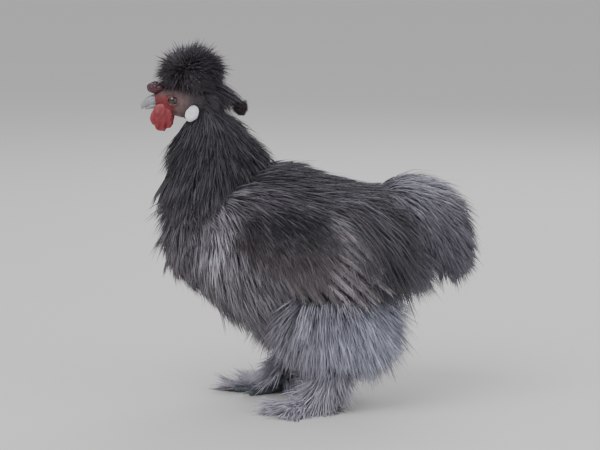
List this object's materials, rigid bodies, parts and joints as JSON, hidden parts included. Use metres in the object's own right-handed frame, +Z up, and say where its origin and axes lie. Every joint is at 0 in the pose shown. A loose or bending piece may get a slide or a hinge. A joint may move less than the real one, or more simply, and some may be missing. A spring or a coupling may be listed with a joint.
{
  "type": "silkie chicken",
  "caption": "Life-size standing silkie cockerel with a round crest, comb, wattles, folded wings, a soft drooping tail and feathered feet.",
  "frame": {"origin": "on the floor under the middle of the bird's box", "axes": "+Z up, -X towards the beak, +Y towards the bird's right side"},
  "size_m": [0.336, 0.213, 0.3501],
  "materials": {
    "hackle": "soft matt down and hair-like feathers",
    "body": "soft matt down",
    "wing": "soft frayed vanes",
    "tail": "long soft frayed plumes",
    "fluff": "loose pale down",
    "skin": "bare red face, finely wrinkled",
    "comb": "dark warty comb",
    "wattle": "soft red wattle, slight sheen",
    "lobe": "smooth pale lobe",
    "beak": "smooth grey horn",
    "eye": "wet and glossy",
    "shank": "dark scaled skin"
  },
  "bodies": {
    "root": {"beak_lower": "beak", "beak_upper": "beak", "comb": "comb", "crest": "hackle", "earlobe_left": "lobe", "earlobe_right": "lobe", "eye_left": "eye", "eye_right": "eye", "foot_left": "shank", "foot_right": "shank", "head": "skin", "neck": "hackle", "shank_left": "shank", "shank_right": "shank", "tail": "tail", "thigh_left": "fluff", "thigh_right": "fluff", "torso": "body", "wattle_left": "wattle", "wattle_right": "wattle", "wing_left": "wing", "wing_right": "wing"}
  },
  "joints": []
}
